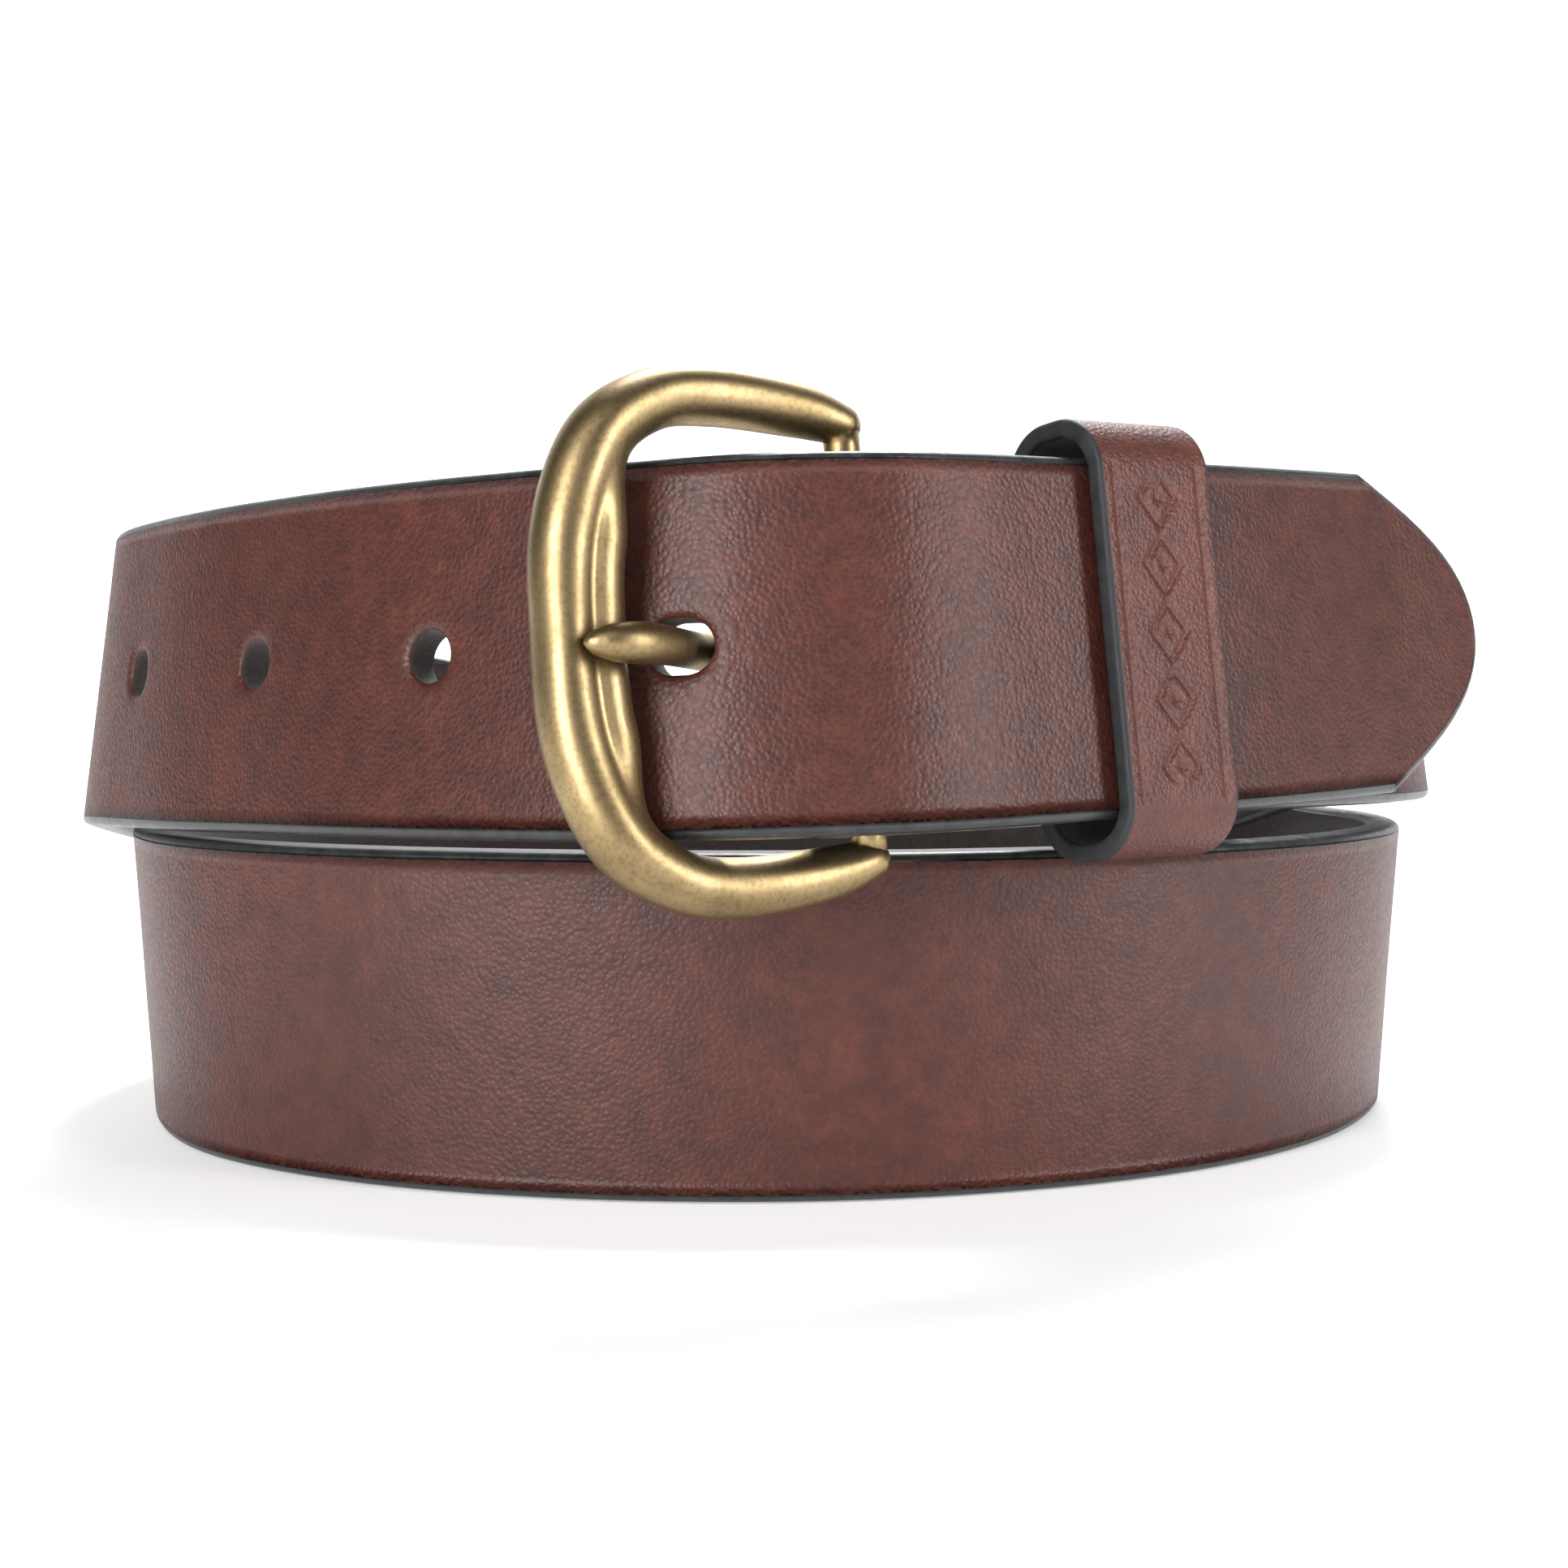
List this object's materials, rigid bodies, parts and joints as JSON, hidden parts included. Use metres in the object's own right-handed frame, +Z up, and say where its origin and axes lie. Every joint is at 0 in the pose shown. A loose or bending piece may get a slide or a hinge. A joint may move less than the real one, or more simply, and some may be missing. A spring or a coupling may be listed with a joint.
{
  "type": "leather belt",
  "caption": "Plain leather belt with a cast horseshoe buckle, prong and keeper loop, buckled on itself and coiled twice round on one edge.",
  "frame": {"origin": "on the table under the middle of the belt's outer box", "axes": "+Z up across the strap's width, -Y towards the buckle, +X towards the strap's pointed tip"},
  "size_m": [0.1538, 0.1717, 0.0739],
  "materials": {
    "strap_leather": "semi-gloss pebbled grain, black painted edges",
    "keeper_leather": "semi-gloss fine grain, black painted edges",
    "antique_brass": "antique satin",
    "screw_brass": "satin",
    "staple_steel": "plain wire"
  },
  "bodies": {
    "belt_strap": {"strap": "strap_leather", "buckle_side_lower_screw_post": "screw_brass", "buckle_side_lower_screw": "screw_brass", "buckle_side_upper_screw_post": "screw_brass", "buckle_side_upper_screw": "screw_brass", "keeper_side_lower_screw_post": "screw_brass", "keeper_side_lower_screw": "screw_brass", "keeper_side_upper_screw_post": "screw_brass", "keeper_side_upper_screw": "screw_brass"},
    "buckle": {"buckle_frame": "antique_brass"},
    "prong": {"prong": "antique_brass"},
    "keeper": {"keeper_loop": "keeper_leather", "tip_side_keeper_staple": "staple_steel", "buckle_side_keeper_staple": "staple_steel"}
  },
  "joints": [
    {"name": "buckle_hinge", "type": "hinge", "parent": "belt_strap", "child": "buckle", "pos_m": [0.00939, -0.06914, 0.04982], "axis": [-0.0651, 0.1039, 0.9925], "range_deg": [-0.5, 2.5]},
    {"name": "prong_hinge", "type": "hinge", "parent": "buckle", "child": "prong", "pos_m": [0.00939, -0.06914, 0.04982], "axis": [-0.0651, 0.1039, 0.9925], "range_deg": [0, 0.8]},
    {"name": "keeper_slide", "type": "slide", "parent": "belt_strap", "child": "keeper", "axis": [0.8112, 0.5844, 0.019], "range_m": [-0.002, 0.001]}
  ]
}
